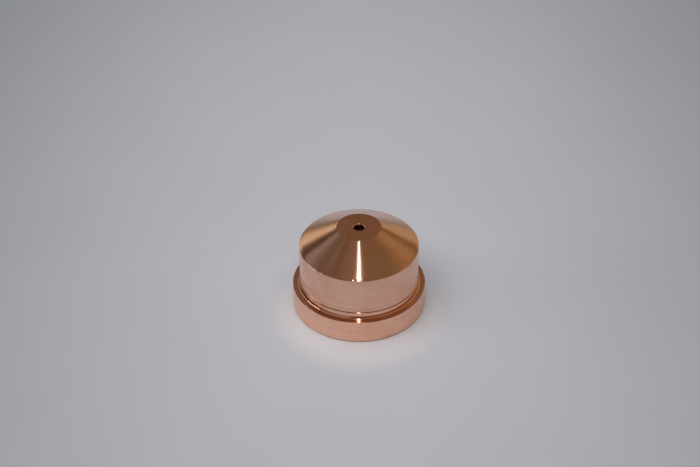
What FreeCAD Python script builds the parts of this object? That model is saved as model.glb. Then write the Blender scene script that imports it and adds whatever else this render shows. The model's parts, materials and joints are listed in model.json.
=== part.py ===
import FreeCAD, Part
import math
import os

# Plasma torch nozzle, turned from one bar of copper.
#
# The origin is the centre of the flat base face. +Z runs along the torch axis, from the open base
# towards the nose, and every size is in millimetres. The nozzle is a solid of revolution, so the
# whole part is one outline in the plane of the radius and the axis, turned once about Z.

# ---- Outside, from the base to the nose ----
flange_diameter = 22.4      # the flange that the shield cup clamps, the widest place
flange_thickness = 4.2
land_diameter = 20.4        # low land that centres the cup on the flange's shoulder
land_height = 1.2
barrel_diameter = 20.0      # plain barrel between the land and the cone
barrel_height = 6.5
cone_slope = 30.0           # degrees between the cone's side and a level plane
nose_diameter = 7.5         # flat face around the orifice

# ---- Inside, from the open base to the nose ----
seat_diameter = 16.5        # counterbore that seats the swirl ring
seat_depth = 5.0
chamber_diameter = 11.5     # gas chamber around the electrode's tip
chamber_depth = 4.5         # its straight wall, above the seat
orifice_diameter = 1.8      # the bore that squeezes the arc
orifice_length = 3.0        # straight wall and chamfer together

# ---- Edges: what the lathe leaves at each corner ----
base_chamfer = 0.25         # outer edge of the base face
mouth_chamfer = 0.4         # lead-in of the swirl ring's seat
orifice_chamfer = 0.13      # rim of the orifice in the nose face
flange_edge_radius = 0.06   # top edge of the flange
shoulder_root_radius = 0.2  # inner corner where the flange meets the land
ledge_edge_radius = 0.06    # top edge of the land
ledge_root_radius = 0.08    # inner corner where the land meets the barrel
cone_edge_radius = 0.08     # blunt edge between the barrel and the cone
nose_edge_radius = 0.12     # blunt edge between the cone and the nose face
throat_radius = 0.6         # smooth entry from the chamber into the orifice
chamber_corner_radius = 1.0 # inner corner under the cone
chamber_edge_radius = 0.2   # edge between the chamber and the seat's floor
seat_root_radius = 0.3      # inner corner of the seat

# ---- Radii and heights that follow from the sizes above ----
flange_radius = flange_diameter / 2
land_radius = land_diameter / 2
barrel_radius = barrel_diameter / 2
nose_radius = nose_diameter / 2
seat_radius = seat_diameter / 2
chamber_radius = chamber_diameter / 2
orifice_radius = orifice_diameter / 2

land_top = flange_thickness + land_height
barrel_top = land_top + barrel_height
cone_height = (barrel_radius - nose_radius) * math.tan(math.radians(cone_slope))
nose_height = barrel_top + cone_height
chamber_top = seat_depth + chamber_depth
throat_height = nose_height - orifice_length

AXIS_START = FreeCAD.Vector(0, 0, 0)
AXIS = FreeCAD.Vector(0, 0, 1)
FULL_TURN = 360.0


def corner(radius, height, cut=0.0, rounded=True):
    """One corner of the outline: its place, and the radius or the chamfer that blunts it."""
    return {"point": FreeCAD.Vector(radius, 0, height), "cut": cut, "rounded": rounded}


def blunted(before, here, after):
    """The edge that blunts a corner, and the two points where it meets the straight sides."""
    to_before = (before["point"] - here["point"]).normalize()
    to_after = (after["point"] - here["point"]).normalize()
    half_angle = to_before.getAngle(to_after) / 2
    # A round of radius r touches the sides r / tan(half angle) away from the corner.
    reach = here["cut"] / math.tan(half_angle) if here["rounded"] else here["cut"]
    start = here["point"] + to_before * reach
    end = here["point"] + to_after * reach
    if not here["rounded"]:
        return Part.makeLine(start, end), start, end
    towards_centre = (to_before + to_after).normalize()
    centre_distance = here["cut"] / math.sin(half_angle)
    middle = here["point"] + towards_centre * (centre_distance - here["cut"])
    return Part.Arc(start, middle, end).toShape(), start, end


def closed_outline(corners):
    """The closed wire through the corners, each with its round or its chamfer."""
    count = len(corners)
    cuts = [
        blunted(corners[i - 1], corners[i], corners[(i + 1) % count])
        for i in range(count)
    ]
    edges = []
    for i in range(count):
        cut_edge, cut_start, cut_end = cuts[i]
        next_start = cuts[(i + 1) % count][1]
        edges.append(cut_edge)
        edges.append(Part.makeLine(cut_end, next_start))
    return Part.Wire(edges)


def nozzle():
    """The copper nozzle: base, flange, land, barrel, cone and nose, then back down the bore."""
    outline = closed_outline([
        corner(flange_radius, 0, base_chamfer, rounded=False),
        corner(flange_radius, flange_thickness, flange_edge_radius),
        corner(land_radius, flange_thickness, shoulder_root_radius),
        corner(land_radius, land_top, ledge_edge_radius),
        corner(barrel_radius, land_top, ledge_root_radius),
        corner(barrel_radius, barrel_top, cone_edge_radius),
        corner(nose_radius, nose_height, nose_edge_radius),
        corner(orifice_radius, nose_height, orifice_chamfer, rounded=False),
        corner(orifice_radius, throat_height, throat_radius),
        corner(chamber_radius, chamber_top, chamber_corner_radius),
        corner(chamber_radius, seat_depth, chamber_edge_radius),
        corner(seat_radius, seat_depth, seat_root_radius),
        corner(seat_radius, 0, mouth_chamfer, rounded=False),
    ])
    return Part.Face(outline).revolve(AXIS_START, AXIS, FULL_TURN)


os.makedirs("parts", exist_ok=True)
solid = nozzle()
solid.exportStep("parts/nozzle.step")

box = solid.BoundBox
print("nozzle:", solid.ShapeType, "valid", solid.isValid(), "solids", len(solid.Solids))
print("size", round(box.XLength, 3), round(box.YLength, 3), round(box.ZLength, 3))
print("height", round(nose_height, 3), "volume mm3", round(solid.Volume, 2))
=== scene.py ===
# %% [markdown]
# # A plasma torch nozzle, turned from copper
#
# The nozzle is one piece of copper that a lathe made from bar: a flange to clamp it by, a low
# land that centres it, a plain barrel, a cone, and a flat nose with a fine orifice through it.
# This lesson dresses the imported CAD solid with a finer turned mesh, a copper that shows the
# lathe's work, and the pale table and soft light that such a small bright part is shown in.
# The first step loads the solid as a fixed frame. Everything after it is in metres, in that frame.

# %% Load the frame
import json
import math

import bmesh
import bpy
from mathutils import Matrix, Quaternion, Vector

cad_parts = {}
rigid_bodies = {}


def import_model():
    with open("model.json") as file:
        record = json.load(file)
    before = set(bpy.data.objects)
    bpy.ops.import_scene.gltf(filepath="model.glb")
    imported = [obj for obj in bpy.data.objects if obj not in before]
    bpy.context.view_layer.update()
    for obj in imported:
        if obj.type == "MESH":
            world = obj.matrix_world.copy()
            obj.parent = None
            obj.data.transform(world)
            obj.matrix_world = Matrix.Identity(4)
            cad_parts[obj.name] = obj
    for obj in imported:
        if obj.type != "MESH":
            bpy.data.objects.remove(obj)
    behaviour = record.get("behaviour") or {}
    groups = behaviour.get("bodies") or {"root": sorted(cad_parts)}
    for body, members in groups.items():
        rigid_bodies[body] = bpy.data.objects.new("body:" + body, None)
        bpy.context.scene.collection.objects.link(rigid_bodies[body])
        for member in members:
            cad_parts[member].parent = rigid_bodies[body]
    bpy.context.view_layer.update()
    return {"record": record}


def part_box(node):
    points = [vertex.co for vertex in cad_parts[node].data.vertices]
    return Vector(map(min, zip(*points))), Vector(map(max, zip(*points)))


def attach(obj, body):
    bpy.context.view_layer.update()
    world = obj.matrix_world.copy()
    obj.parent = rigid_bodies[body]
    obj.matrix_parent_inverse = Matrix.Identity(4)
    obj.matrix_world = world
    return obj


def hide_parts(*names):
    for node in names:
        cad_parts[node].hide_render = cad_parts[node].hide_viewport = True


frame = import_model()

MM = 0.001

# %% [markdown]
# ## The sizes of the turned shape
#
# A turner works from a drawing with a radius and a height at each corner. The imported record
# holds the same sizes as the places where other torch parts fit: the barrel, the land, the
# flange's rim, the orifice and the bores. Reading them from there, instead of writing them again,
# keeps this dress on the solid when the solid's sizes change.

# %% Read radii and heights from the record
fits = {mount["name"]: mount for mount in frame["record"]["mounts"]}


def fit_radius(name):
    """The radius of a round fit, in metres."""
    return fits[name]["dims"]["r_mm"] * MM


def fit_span(name):
    """The lowest and highest point of a round fit's straight wall, in metres."""
    middle = fits[name]["pos_m"][2]
    half = fits[name]["dims"]["length_mm"] * MM / 2
    return middle - half, middle + half


flange_radius = fit_radius("flange_rim")
land_radius = fit_radius("centring_land")
barrel_radius = fit_radius("barrel")
orifice_radius = fit_radius("orifice")
chamber_radius = fit_radius("electrode_chamber")
seat_radius = fit_radius("swirl_ring_seat")
nose_radius = 3.75 * MM
cone_slope = math.radians(30)

shoulder_height = fits["flange_shoulder"]["pos_m"][2]
nose_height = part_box("nozzle")[1].z
barrel_top = nose_height - (barrel_radius - nose_radius) * math.tan(cone_slope)

base_chamfer = 0.25 * MM
mouth_chamfer = 0.4 * MM
orifice_chamfer = 0.13 * MM
flange_edge = 0.06 * MM
shoulder_root = 0.2 * MM
ledge_edge = 0.06 * MM
ledge_root = 0.08 * MM
cone_edge = 0.08 * MM
nose_edge = 0.12 * MM
throat_round = 0.6 * MM
chamber_corner = 1.0 * MM
chamber_edge = 0.2 * MM
seat_root = 0.3 * MM

land_top = fit_span("centring_land")[1] + ledge_edge
seat_depth = fit_span("electrode_chamber")[0] - chamber_edge
orifice_length = 3.0 * MM
chamber_depth = 4.5 * MM
throat_height = nose_height - orifice_length
chamber_top = seat_depth + chamber_depth
print("heights, mm: shoulder %.2f, land %.2f, barrel %.2f, nose %.2f" % tuple(
    h / MM for h in (shoulder_height, land_top, barrel_top, nose_height)))

# %% [markdown]
# ## The turned body
#
# A shape that comes off a lathe is one outline spun about the axis. It could be made from stacked
# cylinders and cones, but those leave seams, and a mirror-bright metal shows every one. Here a few
# corner points are joined into a closed outline and `bmesh.ops.spin` carries it round once. Many
# narrow steps are needed, because a bright barrel would show a coarse step as a flat.
#
# A few points lie between the real corners. Three of them make the hair-fine ring where the tool
# dwelt on the barrel. The rest are support rings round the places that are knocked later, so that
# a knock bends only the metal next to it.

# %% Draw the outline and spin it
SPIN_STEPS = 288

tool_ring_height = 6.10 * MM            # where the tool dwelt on the barrel
tool_ring_width = 0.04 * MM
tool_ring_depth = 0.016 * MM
ding_radius = 4.5 * MM                  # how far from the axis the cone was knocked
support = 0.7 * MM                      # how far from the cone's edge a support ring lies
support_in = support * math.cos(cone_slope)
support_up = support * math.sin(cone_slope)


def cone_height_at(radius):
    """The height of the cone's side where it passes this radius."""
    return nose_height - (radius - nose_radius) * math.tan(cone_slope)


corners = [
    ("base_edge", flange_radius, 0.0),
    ("flange_edge", flange_radius, shoulder_height),
    ("shoulder_root", land_radius, shoulder_height),
    ("ledge_edge", land_radius, land_top),
    ("ledge_root", barrel_radius, land_top),
    ("tool_ring_foot", barrel_radius, tool_ring_height - tool_ring_width),
    ("tool_ring", barrel_radius - tool_ring_depth, tool_ring_height),
    ("tool_ring_head", barrel_radius, tool_ring_height + tool_ring_width),
    ("barrel_support", barrel_radius, barrel_top - support),
    ("cone_edge", barrel_radius, barrel_top),
    ("cone_support", barrel_radius - support_in, barrel_top + support_up),
    ("ding_foot", ding_radius + 0.5 * MM, cone_height_at(ding_radius + 0.5 * MM)),
    ("ding_head", ding_radius - 0.5 * MM, cone_height_at(ding_radius - 0.5 * MM)),
    ("nose_edge", nose_radius, nose_height),
    ("orifice_rim", orifice_radius, nose_height),
    ("throat", orifice_radius, throat_height),
    ("chamber_corner", chamber_radius, chamber_top),
    ("chamber_edge", chamber_radius, seat_depth),
    ("seat_root", seat_radius, seat_depth),
    ("mouth_edge", seat_radius, 0.0),
]


def spun_body(outline, steps):
    """A bmesh of the closed outline of (name, radius, height) corners, spun once about Z."""
    body = bmesh.new()
    points = [body.verts.new((radius, 0.0, height)) for _, radius, height in outline]
    lines = [
        body.edges.new((points[i], points[(i + 1) % len(points)]))
        for i in range(len(points))
    ]
    bmesh.ops.spin(
        body, geom=points + lines, cent=(0, 0, 0), axis=(0, 0, 1), dvec=(0, 0, 0),
        angle=math.tau, steps=steps, use_merge=True, use_duplicate=False,
    )
    bmesh.ops.remove_doubles(body, verts=body.verts, dist=1e-4 * MM)
    bmesh.ops.recalc_face_normals(body, faces=body.faces)
    return body


body = spun_body(corners, SPIN_STEPS)
print("spun body:", len(body.verts), "points,", len(body.faces), "faces")

# %% [markdown]
# ## The edges that the lathe leaves
#
# No turned corner is perfectly sharp. The tool's tip leaves a small round in each inner corner,
# and a turner breaks each outer edge. These thin rounds matter more than their size, because each
# one mirrors a wide fan of the room and draws the bright lines that make metal look like metal.
# `bmesh.ops.bevel` makes them: a chamfer is a bevel of one segment, a round has several.

# %% Blunt every corner ring
def ring_edges(mesh, radius, height):
    """The edges of the ring that the corner at this radius and height was spun into."""
    near = 1e-3 * MM

    def on_ring(vert):
        return (abs(vert.co.xy.length - radius) < near) and (abs(vert.co.z - height) < near)

    return [edge for edge in mesh.edges if on_ring(edge.verts[0]) and on_ring(edge.verts[1])]


def blunt_ring(mesh, radius, height, size, segments):
    """Bevels one ring; size is the round's radius or the chamfer's leg."""
    bmesh.ops.bevel(
        mesh, geom=ring_edges(mesh, radius, height), offset=size, offset_type="OFFSET",
        affect="EDGES", segments=segments, profile=0.5, material=-1, clamp_overlap=True,
    )


def touch(size, turn_degrees):
    """How far from its corner a round of this radius meets the sides, where they turn so far."""
    return size * math.tan(math.radians(turn_degrees) / 2)


throat_turn = math.degrees(
    math.atan2(chamber_radius - orifice_radius, throat_height - chamber_top))
blunting = {
    "base_edge": (base_chamfer, 1),
    "flange_edge": (touch(flange_edge, 90), 4),
    "shoulder_root": (touch(shoulder_root, 90), 5),
    "ledge_edge": (touch(ledge_edge, 90), 4),
    "ledge_root": (touch(ledge_root, 90), 4),
    "cone_edge": (touch(cone_edge, 60), 4),
    "nose_edge": (touch(nose_edge, 30), 4),
    "orifice_rim": (orifice_chamfer, 1),
    "throat": (touch(throat_round, throat_turn), 5),
    "chamber_corner": (touch(chamber_corner, throat_turn), 5),
    "chamber_edge": (touch(chamber_edge, 90), 3),
    "seat_root": (touch(seat_root, 90), 4),
    "mouth_edge": (mouth_chamfer, 1),
}
for name, radius, height in corners:
    if name in blunting:
        blunt_ring(body, radius, height, *blunting[name])
print("with its edges:", len(body.verts), "points,", len(body.faces), "faces")

# %% [markdown]
# ## Marks of handling
#
# Copper is soft: knocks against other parts have bruised the edge of the cone in two places, and
# dinged the cone once near the nose. Bump shading would do at a distance, but a bruise on an edge
# changes the edge's own line, so these are made in the mesh.

# %% Press the bruises into the mesh
def around(azimuth_degrees):
    """The outward direction at this azimuth: 0 faces the front, which is -Y, and 90 faces +X."""
    angle = math.radians(azimuth_degrees)
    return Vector((math.sin(angle), -math.cos(angle), 0.0))


def bruise(mesh, azimuth, radius, height, length, width, depth):
    """Sinks a small oval dent, long round the axis, where the surface passes through a point."""
    outward = around(azimuth)
    place = outward * radius + Vector((0, 0, height))
    sideways = Vector((0, 0, 1)).cross(outward)
    near = [face for face in mesh.faces
            if (face.calc_center_median() - place).length < 1.5 * length]
    edges = {edge for face in near for edge in face.edges}
    bmesh.ops.subdivide_edges(mesh, edges=list(edges), cuts=2, use_grid_fill=True)
    inward = -(outward + Vector((0, 0, 0.8))).normalized()
    for vert in mesh.verts:
        offset = vert.co - place
        along = offset.dot(sideways) / length
        across = (offset - sideways * offset.dot(sideways)).length / width
        share = max(0.0, 1.0 - along * along - across * across)
        vert.co += inward * depth * share ** 1.5


bruises = [
    (-4.5, barrel_radius, barrel_top, 0.35 * MM, 0.22 * MM, 0.05 * MM),
    (-39.5, barrel_radius, barrel_top, 0.45 * MM, 0.24 * MM, 0.06 * MM),
    (4.5, ding_radius, cone_height_at(ding_radius), 0.22 * MM, 0.18 * MM, 0.03 * MM),
]
for azimuth, radius, height, length, width, depth in bruises:
    bruise(body, azimuth, radius, height, length, width, depth)
print("after the bruises:", len(body.faces), "faces")

# %% [markdown]
# ## Where each finish begins
#
# One tool cut the whole outside, but not every stretch looks alike: the barrel and the rim show a
# plain fine feed, the cone and the reamed orifice are nearly mirrors, the level faces carry rings,
# the groove over the flange is the brightest, and the bores inside are duller. The mesh stays one
# piece, as the nozzle is, and each face is given the slot of its own finish by where it lies.
#
# Smooth shading averages the directions of the faces at each corner, and a thin round beside a
# broad cone would bend the whole cone's reflection. The Weighted Normal modifier lets the broad
# face decide. It is applied at once, so that nothing on the nozzle stays live.

# %% Give every face its finish
FINISHES = ("turned_copper", "mirror_cut_copper", "faced_copper", "bright_groove_copper",
            "bored_copper")
LEVEL = 0.98                            # the upright share of a normal that counts as level
bores_end = chamber_top + 1 * MM        # above this, a face that looks up is outside


def finish_of(face):
    """The finish's place in FINISHES, from where the face lies and which way it looks."""
    middle = face.calc_center_median()
    radius = middle.xy.length
    outward = face.normal.dot(Vector((middle.x, middle.y, 0)).normalized())
    level = abs(face.normal.z) > LEVEL
    inside = radius < seat_radius and not (face.normal.z > 0 and middle.z > bores_end)
    in_groove = radius > barrel_radius and shoulder_height - flange_edge < middle.z < barrel_top
    if in_groove and radius < flange_radius - flange_edge:
        return FINISHES.index("bright_groove_copper")
    if radius < orifice_radius + orifice_chamfer and middle.z > throat_height:
        return FINISHES.index("mirror_cut_copper")
    if inside or outward < -0.1:
        return FINISHES.index("bored_copper")
    if level:
        return FINISHES.index("faced_copper")
    if middle.z > barrel_top:
        return FINISHES.index("mirror_cut_copper")
    return FINISHES.index("turned_copper")


for face in body.faces:
    face.material_index = finish_of(face)
    face.smooth = True
SHARP = math.radians(24)
for edge in body.edges:
    edge.smooth = edge.calc_face_angle(0.0) < SHARP

mesh = bpy.data.meshes.new("nozzle_turned")
body.to_mesh(mesh)
body.free()
nozzle = bpy.data.objects.new("nozzle_turned", mesh)
bpy.context.scene.collection.objects.link(nozzle)

hardened = nozzle.modifiers.new("hardened", "WEIGHTED_NORMAL")
hardened.mode = "FACE_AREA"
hardened.weight = 50
hardened.keep_sharp = True
evaluated = nozzle.evaluated_get(bpy.context.evaluated_depsgraph_get())
nozzle.data = bpy.data.meshes.new_from_object(evaluated)
nozzle.data.name = "nozzle_turned"
nozzle.modifiers.clear()
mesh = nozzle.data
counts = [sum(p.material_index == i for p in mesh.polygons) for i in range(len(FINISHES))]
print("faces of each finish:", dict(zip(FINISHES, counts)))

# %% [markdown]
# ## Helpers for shader nodes
#
# A procedural finish is arithmetic on the place of each point. These two helpers keep the recipes
# readable: `add` makes a node and wires its inputs, and `calc` does one sum and gives its result.

# %% Helpers that add nodes
def add(tree, kind, inputs=None, **settings):
    """Adds a node; inputs gives its sockets, each a number, a colour or another node's socket."""
    node = tree.nodes.new(kind)
    for name, value in settings.items():
        setattr(node, name, value)
    for key, value in (inputs or {}).items():
        socket = node.inputs[key]
        if isinstance(value, bpy.types.NodeSocket):
            tree.links.new(value, socket)
        else:
            socket.default_value = value
    return node


def calc(tree, operation, *values, clamp=False):
    """One Math node; the values are numbers or sockets."""
    inputs = dict(enumerate(values))
    return add(tree, "ShaderNodeMath", inputs, operation=operation, use_clamp=clamp).outputs[0]


def new_group(name, inputs, outputs):
    """An empty node group with named sockets: {name: (kind, default)} in, {name: kind} out."""
    group = bpy.data.node_groups.new(name, "ShaderNodeTree")
    for socket, (kind, default) in inputs.items():
        made = group.interface.new_socket(socket, in_out="INPUT", socket_type=kind)
        if default is not None:
            made.default_value = default
    for socket, kind in outputs.items():
        group.interface.new_socket(socket, in_out="OUTPUT", socket_type=kind)
    start = group.nodes.new("NodeGroupInput")
    end = group.nodes.new("NodeGroupOutput")
    return group, start.outputs, end.inputs


def place_group(tree, group, inputs):
    """Places a finished group in a material and wires its inputs."""
    node = tree.nodes.new("ShaderNodeGroup")
    node.node_tree = group
    for key, value in inputs.items():
        if isinstance(value, bpy.types.NodeSocket):
            tree.links.new(value, node.inputs[key])
        else:
            node.inputs[key].default_value = value
    return node.outputs


NUMBER, VECTOR = "NodeSocketFloat", "NodeSocketVector"

# %% [markdown]
# ## The lathe's own coordinates
#
# Turning marks run round the axis, so they change along the outline and hardly at all about it.
# The radius falls and the height grows all the way up the outside, so height less radius grows
# steadily over rim, shoulder, barrel, cone and nose alike, and one number counts the feed of the
# tool over all of them. The direction from the axis stands for the angle, with no seam where the
# angle would jump from one end of its range to the other.

# %% The group that measures along and about the outline
lathe_group, lathe_in, lathe_out = new_group(
    "lathe coordinates",
    {"Position": (VECTOR, None)},
    {"Feed": NUMBER, "Bearing": VECTOR, "Radius": NUMBER, "Height": NUMBER},
)
split = add(lathe_group, "ShaderNodeSeparateXYZ", {0: lathe_in["Position"]}).outputs
flat_place = add(lathe_group, "ShaderNodeCombineXYZ", {0: split[0], 1: split[1]}).outputs[0]
radius_m = add(lathe_group, "ShaderNodeVectorMath", {0: flat_place}, operation="LENGTH").outputs["Value"]
radius_mm = calc(lathe_group, "DIVIDE", radius_m, MM)
height_mm = calc(lathe_group, "DIVIDE", split[2], MM)
bearing = add(lathe_group, "ShaderNodeVectorMath", {0: flat_place}, operation="NORMALIZE").outputs[0]
lathe_group.links.new(calc(lathe_group, "SUBTRACT", height_mm, radius_mm), lathe_out["Feed"])
lathe_group.links.new(bearing, lathe_out["Bearing"])
lathe_group.links.new(radius_mm, lathe_out["Radius"])
lathe_group.links.new(height_mm, lathe_out["Height"])
print("group:", lathe_group.name)

# %% [markdown]
# ## Turning marks
#
# Each turn of the bar leaves a groove a few hundredths of a millimetre wide. The tool and the bar
# shiver a little, so no groove is quite like the next, and some stand out. Noise sampled finely
# along the feed and coarsely round the axis gives just that. Two layers are mixed: the even feed,
# and the few deeper lines that catch the eye.

# %% The group that cuts turning marks
marks_group, marks_in, marks_out = new_group(
    "turning marks",
    {"Feed": (NUMBER, 0.0), "Bearing": (VECTOR, None), "Pitch": (NUMBER, 0.1),
     "Wander": (NUMBER, 0.8), "Deep lines": (NUMBER, 0.4)},
    {"Depth": NUMBER, "Streak": NUMBER},
)


def marks_layer(pitch_share, wander_share, detail):
    """Noise over (feed, bearing): narrow along the feed and long round the axis."""
    pitch = calc(marks_group, "MULTIPLY", marks_in["Pitch"], pitch_share)
    along = calc(marks_group, "DIVIDE", marks_in["Feed"], pitch)
    wander = calc(marks_group, "MULTIPLY", marks_in["Wander"], wander_share)
    turned = add(marks_group, "ShaderNodeVectorMath", {0: marks_in["Bearing"], "Scale": wander},
                 operation="SCALE").outputs[0]
    parts = add(marks_group, "ShaderNodeSeparateXYZ", {0: turned}).outputs
    place = add(marks_group, "ShaderNodeCombineXYZ", {0: parts[0], 1: parts[1], 2: along}).outputs[0]
    return add(marks_group, "ShaderNodeTexNoise",
               {"Vector": place, "Scale": 1.0, "Detail": detail, "Roughness": 0.6}).outputs[0]


feed_lines = marks_layer(1.0, 1.0, 2.0)
deep_noise = marks_layer(4.0, 0.6, 3.0)
deep_lines = add(marks_group, "ShaderNodeMapRange",
                 {"Value": deep_noise, "From Min": 0.56, "From Max": 0.72},
                 interpolation_type="SMOOTHSTEP").outputs[0]
deep_share = calc(marks_group, "MULTIPLY", deep_lines, marks_in["Deep lines"])
marks_group.links.new(calc(marks_group, "SUBTRACT", feed_lines, deep_share), marks_out["Depth"])
marks_group.links.new(deep_lines, marks_out["Streak"])
print("group:", marks_group.name)

# %% [markdown]
# ## Handling: film and scuffs
#
# Bare copper takes a thin brown film within days, uneven where fingers or packing touched it, and
# small scuffs from other parts in the bin. The film darkens and warms the colour, and the scuffs
# are a little rougher. Both are patches, so soft noise in the object's own space makes them.

# %% The group that lays film and scuffs
film_group, film_in, film_out = new_group(
    "handling film",
    {"Position": (VECTOR, None), "Patch size": (NUMBER, 4.0), "Cover": (NUMBER, 0.5)},
    {"Film": NUMBER, "Scuff": NUMBER},
)
place_mm = add(film_group, "ShaderNodeVectorMath", {0: film_in["Position"], "Scale": 1 / MM},
               operation="SCALE").outputs[0]
patch_scale = calc(film_group, "DIVIDE", 1.0, film_in["Patch size"])
clouds = add(film_group, "ShaderNodeTexNoise",
             {"Vector": place_mm, "Scale": patch_scale, "Detail": 5.0, "Roughness": 0.55}).outputs[0]
cover_from = calc(film_group, "SUBTRACT", 0.8, film_in["Cover"])
cover_to = calc(film_group, "ADD", cover_from, 0.3)
film = add(film_group, "ShaderNodeMapRange",
           {"Value": clouds, "From Min": cover_from, "From Max": cover_to},
           interpolation_type="SMOOTHSTEP").outputs[0]
specks = add(film_group, "ShaderNodeTexNoise",
             {"Vector": place_mm, "Scale": 2.6, "Detail": 3.0, "Roughness": 0.7}).outputs[0]
scuff = add(film_group, "ShaderNodeMapRange",
            {"Value": specks, "From Min": 0.62, "From Max": 0.75},
            interpolation_type="SMOOTHSTEP").outputs[0]
film_group.links.new(film, film_out["Film"])
film_group.links.new(scuff, film_out["Scuff"])
print("group:", film_group.name)

# %% [markdown]
# ## The coppers
#
# Copper has no diffuse colour worth the name: what shows is the room, tinted. So each finish is a
# metal with the colour of clean copper, and they differ in how finely they were cut. Fine grooves
# all run one way, and they spread a reflection across themselves and hardly along: that is
# anisotropy, and it draws the bright streak up the cone. The grooves run round the axis, which is
# the shader's own default direction, so a quarter turn sets the spread across them.

# %% Mix one copper for each finish
CLEAN_COPPER = (0.90, 0.55, 0.41, 1.0)
FILMED_COPPER = (0.80, 0.42, 0.28, 1.0)
STREAK_COPPER = (0.82, 0.47, 0.34, 1.0)
ACROSS_THE_GROOVES = 0.25               # a quarter turn
FILM_STRENGTH = 0.55
SCUFF_ROUGHNESS = 0.10
LINE_ROUGHNESS = 0.05


def copper(name, roughness, anisotropy, pitch, groove_depth, deep_lines, film_cover):
    """One copper finish; pitch and groove depth are in millimetres."""
    material = bpy.data.materials.new(name)
    material.use_nodes = True
    tree = material.node_tree
    shader = tree.nodes["Principled BSDF"]
    position = add(tree, "ShaderNodeTexCoord").outputs["Object"]
    lathe = place_group(tree, lathe_group, {"Position": position})
    marks = place_group(tree, marks_group, {
        "Feed": lathe["Feed"], "Bearing": lathe["Bearing"], "Pitch": pitch,
        "Deep lines": deep_lines})
    handling = place_group(tree, film_group, {"Position": position, "Cover": film_cover})

    streaked = add(tree, "ShaderNodeMix", {0: marks["Streak"], 6: CLEAN_COPPER, 7: STREAK_COPPER},
                   data_type="RGBA").outputs[2]
    film_share = calc(tree, "MULTIPLY", handling["Film"], FILM_STRENGTH)
    filmed = add(tree, "ShaderNodeMix", {0: film_share, 6: streaked, 7: FILMED_COPPER},
                 data_type="RGBA").outputs[2]
    scuffed = calc(tree, "MULTIPLY", handling["Scuff"], SCUFF_ROUGHNESS)
    lined = calc(tree, "MULTIPLY", marks["Streak"], LINE_ROUGHNESS)
    rough = calc(tree, "ADD", calc(tree, "ADD", scuffed, lined), roughness)
    bump = add(tree, "ShaderNodeBump", {
        "Strength": 1.0, "Distance": groove_depth * MM, "Height": marks["Depth"]}).outputs[0]

    tree.links.new(filmed, shader.inputs["Base Color"])
    tree.links.new(rough, shader.inputs["Roughness"])
    tree.links.new(bump, shader.inputs["Normal"])
    shader.inputs["Metallic"].default_value = 1.0
    shader.inputs["Anisotropic"].default_value = anisotropy
    shader.inputs["Anisotropic Rotation"].default_value = ACROSS_THE_GROOVES
    return material


recipes = {
    "turned_copper": dict(roughness=0.26, anisotropy=0.6, pitch=0.09, groove_depth=0.004,
                          deep_lines=0.4, film_cover=0.42),
    "mirror_cut_copper": dict(roughness=0.15, anisotropy=0.8, pitch=0.07, groove_depth=0.0015,
                              deep_lines=0.3, film_cover=0.38),
    "faced_copper": dict(roughness=0.24, anisotropy=0.6, pitch=0.13, groove_depth=0.009,
                         deep_lines=0.9, film_cover=0.50),
    "bright_groove_copper": dict(roughness=0.10, anisotropy=0.4, pitch=0.08, groove_depth=0.001,
                                 deep_lines=0.3, film_cover=0.40),
    "bored_copper": dict(roughness=0.34, anisotropy=0.5, pitch=0.12, groove_depth=0.006,
                         deep_lines=0.6, film_cover=0.6),
}
for finish in FINISHES:
    nozzle.data.materials.append(copper(finish, **recipes[finish]))
print("finishes:", [m.name for m in nozzle.data.materials])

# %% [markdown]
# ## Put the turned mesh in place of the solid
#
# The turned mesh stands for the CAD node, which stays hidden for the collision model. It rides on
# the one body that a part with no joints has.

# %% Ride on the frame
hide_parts("nozzle")
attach(nozzle, "root")

# %% [markdown]
# ## The table
#
# The nozzle stands on a plain pale sheet. Light pools round it and falls off towards the sheet's
# edges, and that falloff is painted light: the sheet's colour is painted darker with distance from
# the nozzle. The bright copper also throws light down on the sheet round its foot, a pale ring that
# a path tracer needs very long to find, so the sheet's own colour carries it. A faint mottle keeps
# it from looking like plain paint.
#
# Seen from underneath, the sheet is clear, so that the open base can be looked into. What the base
# and the bores mirror first passes it too, or they would mirror the dark contact and be black.

# %% Make the table
TABLE_HALF_WIDTH = 0.60
TABLE_FRONT = -0.60
TABLE_BACK = 0.19
TABLE_COLOUR = (0.675, 0.680, 0.728, 1.0)
# painted light: the sheet's colour far from the nozzle, where the pool of light has fallen off
FALLOFF_PAINT_COLOUR = (0.310, 0.322, 0.366, 1.0)
THROWN_LIGHT = (0.795, 0.765, 0.79, 1.0)
POOL_WIDTH = 0.058
POOL_DEPTH = 0.125
POOL_CENTRE = (0.0, 0.015, 0.0)
THROWN_CENTRE = (0.0, -0.004, 0.0)

table_mesh = bpy.data.meshes.new("table")
sheet = bmesh.new()
bmesh.ops.create_grid(sheet, x_segments=1, y_segments=1, size=0.5)
bmesh.ops.scale(sheet, vec=(2 * TABLE_HALF_WIDTH, TABLE_BACK - TABLE_FRONT, 1), verts=sheet.verts)
bmesh.ops.translate(sheet, vec=(0, (TABLE_BACK + TABLE_FRONT) / 2, 0), verts=sheet.verts)
sheet.to_mesh(table_mesh)
sheet.free()
table = bpy.data.objects.new("table", table_mesh)
bpy.context.scene.collection.objects.link(table)

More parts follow.
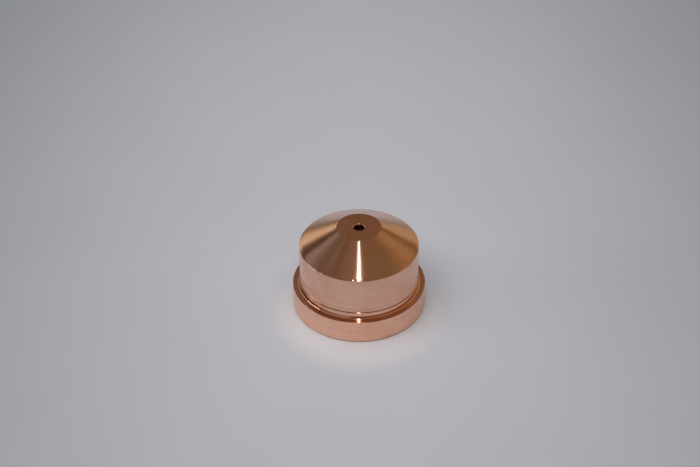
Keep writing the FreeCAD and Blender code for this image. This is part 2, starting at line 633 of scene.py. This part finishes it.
paper = bpy.data.materials.new("pale_paper")
paper.use_nodes = True
tree = paper.node_tree
shader = tree.nodes["Principled BSDF"]
place = add(tree, "ShaderNodeTexCoord").outputs["Object"]
in_pool = add(tree, "ShaderNodeVectorMath", {0: place, 1: POOL_CENTRE},
              operation="SUBTRACT").outputs[0]
pooled = add(tree, "ShaderNodeVectorMath",
             {0: in_pool, 1: (1 / POOL_WIDTH, 1 / POOL_DEPTH, 0.0)},
             operation="MULTIPLY").outputs[0]
away = add(tree, "ShaderNodeVectorMath", {0: pooled}, operation="LENGTH").outputs["Value"]
# painted falloff of light: the sheet is painted darker with distance from the pool's centre
painted_falloff = add(tree, "ShaderNodeMapRange", {"Value": away, "From Min": 0.1, "From Max": 2.2},
           interpolation_type="SMOOTHSTEP").outputs[0]
mottle = add(tree, "ShaderNodeTexNoise", {"Vector": place, "Scale": 45.0, "Detail": 4.0}).outputs[0]
mottled = calc(tree, "MULTIPLY_ADD", mottle, 0.06, 0.97)
tone = add(tree, "ShaderNodeMix", {0: painted_falloff, 6: TABLE_COLOUR, 7: FALLOFF_PAINT_COLOUR},
           data_type="RGBA").outputs[2]
from_ring = add(tree, "ShaderNodeVectorMath", {0: place, 1: THROWN_CENTRE},
                operation="DISTANCE").outputs["Value"]
thrown = add(tree, "ShaderNodeMapRange",
             {"Value": from_ring, "From Min": 0.9 * flange_radius, "From Max": 1.45 * flange_radius,
              "To Min": 1.0, "To Max": 0.0}, interpolation_type="SMOOTHSTEP").outputs[0]
lit = add(tree, "ShaderNodeMix", {0: thrown, 6: tone, 7: THROWN_LIGHT},
          data_type="RGBA").outputs[2]
toned = add(tree, "ShaderNodeVectorMath", {0: lit, "Scale": mottled}, operation="SCALE").outputs[0]
grain = add(tree, "ShaderNodeTexNoise", {"Vector": place, "Scale": 1500.0, "Detail": 3.0}).outputs[0]
tree.links.new(toned, shader.inputs["Base Color"])
tree.links.new(add(tree, "ShaderNodeBump", {"Strength": 0.15, "Distance": 0.02 * MM, "Height": grain}
                   ).outputs[0], shader.inputs["Normal"])
shader.inputs["Roughness"].default_value = 0.75
shader.inputs["Specular IOR Level"].default_value = 0.2
clear = add(tree, "ShaderNodeBsdfTransparent").outputs[0]
from_below = add(tree, "ShaderNodeNewGeometry").outputs["Backfacing"]
under_base = calc(tree, "LESS_THAN", add(
    tree, "ShaderNodeVectorMath", {0: place}, operation="LENGTH").outputs["Value"],
    flange_radius - base_chamfer)
first_mirrored = calc(
    tree, "LESS_THAN", add(tree, "ShaderNodeLightPath").outputs["Glossy Depth"], 1.5)
open_base = calc(tree, "MULTIPLY", under_base, first_mirrored)
see_through = calc(tree, "MAXIMUM", from_below, open_base)
mixed = add(tree, "ShaderNodeMixShader",
            {0: see_through, 1: shader.outputs[0], 2: clear}).outputs[0]
tree.links.new(mixed, tree.nodes["Material Output"].inputs["Surface"])
table.data.materials.append(paper)
print("table, m:", 2 * TABLE_HALF_WIDTH, "by", TABLE_BACK - TABLE_FRONT)

# %% [markdown]
# ## The room that the copper mirrors
#
# A polished cone shows the room as a fan of stripes, one for each direction. So the room matters
# as much as the copper. In a studio, small bright metal is put in a tent, whose cloth is painted
# or hung to choose what the metal shows. This tent is dim and warm, with a pale strip low
# behind on each side and warmer wood on the right. Two ramps over the height above the horizon
# paint its left and its right, and plain dim brown fills the rest. Only reflections see the tent:
# the camera and everything else see past it, to a plain pale backdrop.

# %% Hang the tent and paint it
TENT_RADIUS = 2.4
tent_mesh = bpy.data.meshes.new("tent")
cloth = bmesh.new()
bmesh.ops.create_uvsphere(cloth, u_segments=64, v_segments=32, radius=TENT_RADIUS)
bmesh.ops.reverse_faces(cloth, faces=cloth.faces)
cloth.to_mesh(tent_mesh)
cloth.free()
tent = bpy.data.objects.new("tent", tent_mesh)
bpy.context.scene.collection.objects.link(tent)
tent.visible_camera = False
tent.visible_diffuse = False
tent.visible_shadow = False

PLAIN_CLOTH = (0.175, 0.115, 0.075, 1.0)
LOW_CLOTH = (0.55, 0.54, 0.55, 1.0)     # below the table
LEFT_CLOTH = [
    (0, (0.20, 0.16, 0.10)), (4, (0.20, 0.15, 0.09)), (7, (0.56, 0.51, 0.38)),
    (13, (0.58, 0.53, 0.40)), (17, (0.84, 0.80, 0.64)), (21, (0.24, 0.18, 0.13)),
    (25, (0.08, 0.055, 0.04)),
    (31, (0.065, 0.04, 0.03)), (34, (0.28, 0.255, 0.25)), (40, (0.27, 0.24, 0.235)),
    (43, (0.21, 0.18, 0.165)), (45, (0.15, 0.12, 0.10)),
    (47, (0.185, 0.15, 0.13)), (49, (0.14, 0.11, 0.085)), (52, (0.155, 0.125, 0.095)),
    (54, (0.125, 0.095, 0.07)), (58, (0.195, 0.155, 0.115)), (66, (0.14, 0.095, 0.065)),
    (75, (0.21, 0.15, 0.10)), (90, (0.22, 0.16, 0.12)),
]
RIGHT_CLOTH = [
    (0, (0.32, 0.27, 0.19)), (5, (0.40, 0.33, 0.21)), (16, (0.44, 0.36, 0.20)),
    (19, (0.17, 0.09, 0.04)), (22, (0.19, 0.10, 0.045)), (30, (0.31, 0.22, 0.11)),
    (38, (0.34, 0.23, 0.11)), (48, (0.25, 0.165, 0.08)), (57, (0.19, 0.135, 0.078)),
    (90, (0.19, 0.135, 0.078)),
]

canvas = bpy.data.materials.new("painted_cloth")
canvas.use_nodes = True
canvas.cycles.emission_sampling = "NONE"
tree = canvas.node_tree
tree.nodes.remove(tree.nodes["Principled BSDF"])


def height_ramp(share, stops):
    """A colour ramp over the height above the horizon; the stops are in degrees."""
    ramp = add(tree, "ShaderNodeValToRGB", {0: share})
    elements = ramp.color_ramp.elements
    for degrees, colour in stops[1:-1]:
        elements.new(degrees / 90)
    for element, (degrees, colour) in zip(elements, stops):
        element.position = degrees / 90
        element.color = (*colour, 1.0)
    return ramp.outputs[0]


sight = add(tree, "ShaderNodeVectorMath", {0: add(tree, "ShaderNodeTexCoord").outputs["Object"]},
            operation="NORMALIZE").outputs[0]
sight_parts = add(tree, "ShaderNodeSeparateXYZ", {0: sight}).outputs
rise = calc(tree, "DIVIDE", calc(tree, "ARCSINE", sight_parts[2]), math.pi / 2, clamp=True)
level_part = add(tree, "ShaderNodeCombineXYZ", {0: sight_parts[0], 1: sight_parts[1]}).outputs[0]
heading = add(tree, "ShaderNodeVectorMath", {0: level_part}, operation="NORMALIZE").outputs[0]
side = add(tree, "ShaderNodeSeparateXYZ", {0: heading}).outputs[0]


def side_share(towards):
    """How far a direction lies to one side; towards is -1 for the left and 1 for the right."""
    return add(tree, "ShaderNodeMapRange", {
        "Value": calc(tree, "MULTIPLY", side, towards), "From Min": 0.18, "From Max": 0.36},
        interpolation_type="SMOOTHSTEP").outputs[0]


painted = PLAIN_CLOTH
for towards, stops in ((-1.0, LEFT_CLOTH), (1.0, RIGHT_CLOTH)):
    painted = add(tree, "ShaderNodeMix", {
        0: side_share(towards), 6: painted, 7: height_ramp(rise, stops)},
        data_type="RGBA").outputs[2]
low = add(tree, "ShaderNodeMapRange", {
    "Value": sight_parts[2], "From Min": -0.07, "From Max": -0.14},
    interpolation_type="SMOOTHSTEP").outputs[0]
painted = add(tree, "ShaderNodeMix", {0: low, 6: painted, 7: LOW_CLOTH},
              data_type="RGBA").outputs[2]
glow = add(tree, "ShaderNodeEmission", {"Color": painted, "Strength": 1.0}).outputs[0]
tree.links.new(glow, tree.nodes["Material Output"].inputs["Surface"])
tent.data.materials.append(canvas)
print("tent:", TENT_RADIUS, "m, left stops", len(LEFT_CLOTH), "right stops", len(RIGHT_CLOTH))

# %% [markdown]
# ## The pale backdrop
#
# Where a view looks past the table, it meets the world. Light Path lets the world show a pale tone
# to the camera, to reflections and to what is seen through glass, and give no light to anything,
# so that the lamps alone light the nozzle.

# %% Set the backdrop
world = bpy.data.worlds.new("backdrop")
bpy.context.scene.world = world
world.use_nodes = True
tree = world.node_tree
background = tree.nodes["Background"]
BACKDROP = (0.47, 0.475, 0.50, 1.0)
rays = add(tree, "ShaderNodeLightPath").outputs
direct = calc(tree, "MAXIMUM", rays["Is Camera Ray"], rays["Is Glossy Ray"])
seen = calc(tree, "MAXIMUM", direct, rays["Is Transmission Ray"])
background.inputs["Color"].default_value = BACKDROP
tree.links.new(seen, background.inputs["Strength"])
print("backdrop:", BACKDROP[:3])

# %% [markdown]
# ## The lamps
#
# Three soft lamps light the nozzle. A long narrow tube hangs over the table, in line with the
# camera: the cone and the groove above the flange mirror it as the bright streak. A window on the
# left draws the short bright lines in the groove. And a broad soft lamp overhead only lights the
# table: as a flag would in a studio, a setting keeps it out of what the metal mirrors.

# %% Hang the lamps
def lamp(name, azimuth, elevation, distance, width, height, radiance):
    """An oblong lamp that faces the nozzle; radiance is its brightness, 1 being white."""
    outward = around(azimuth)
    lift = math.radians(elevation)
    place = (outward * math.cos(lift) + Vector((0, 0, math.sin(lift)))) * distance
    data = bpy.data.lights.new(name, "AREA")
    data.shape = "RECTANGLE"
    data.size = width
    data.size_y = height
    data.energy = radiance * math.pi * width * height
    holder = bpy.data.objects.new(name, data)
    bpy.context.scene.collection.objects.link(holder)
    holder.location = place
    # The lamp's own X stays level, and its Y points up along the vertical plane it hangs in.
    holder.rotation_euler = (-place).to_track_quat("-Z", "Y").to_euler()
    return holder


LAMP_DISTANCE = 1.5
tube_width = 2 * LAMP_DISTANCE * math.tan(math.radians(1.05))
tube_length = 2 * LAMP_DISTANCE * math.tan(math.radians(25))
tube = lamp("tube", -0.6, 61, LAMP_DISTANCE, tube_width, tube_length, 7.0)
window = lamp("window", -86, 13, LAMP_DISTANCE, 0.7, 0.2, 4.5)
softbox = lamp("softbox", -40, 75, LAMP_DISTANCE, 1.8, 1.8, 1.95)
softbox.visible_glossy = False
print("lamps:", [lamp_object.name for lamp_object in (tube, window, softbox)])

# %% [markdown]
# ## The camera
#
# A long lens looks down on the nozzle from about forty degrees, close enough to fill a
# fifth of the picture's width. The camera hangs in the plane of the axis, and it aims a little to
# the left of the nozzle's top.

# %% Set the camera
camera_data = bpy.data.cameras.new("camera")
camera_data.sensor_width = 36.0
camera_data.lens = 84.86
camera = bpy.data.objects.new("camera", camera_data)
bpy.context.scene.collection.objects.link(camera)
camera_place = Vector((0.0, -219.19, 178.74)) * MM
camera_aim = Vector((-1.49, 0.0, 14.17)) * MM
camera_roll = math.radians(-0.28)
look = (camera_aim - camera_place).to_track_quat("-Z", "Y")
camera.location = camera_place
camera.rotation_euler = (look @ Quaternion((0, 0, 1), camera_roll)).to_euler()
camera_data.clip_start = 0.01
camera_data.clip_end = 10.0
bpy.context.scene.camera = camera
print("camera is", round(camera_place.length, 4), "m from the base's centre")

# %% [markdown]
# ## Colour
#
# Standard view keeps colours as they are written.

# %% Finish
bpy.context.scene.view_settings.view_transform = "Standard"
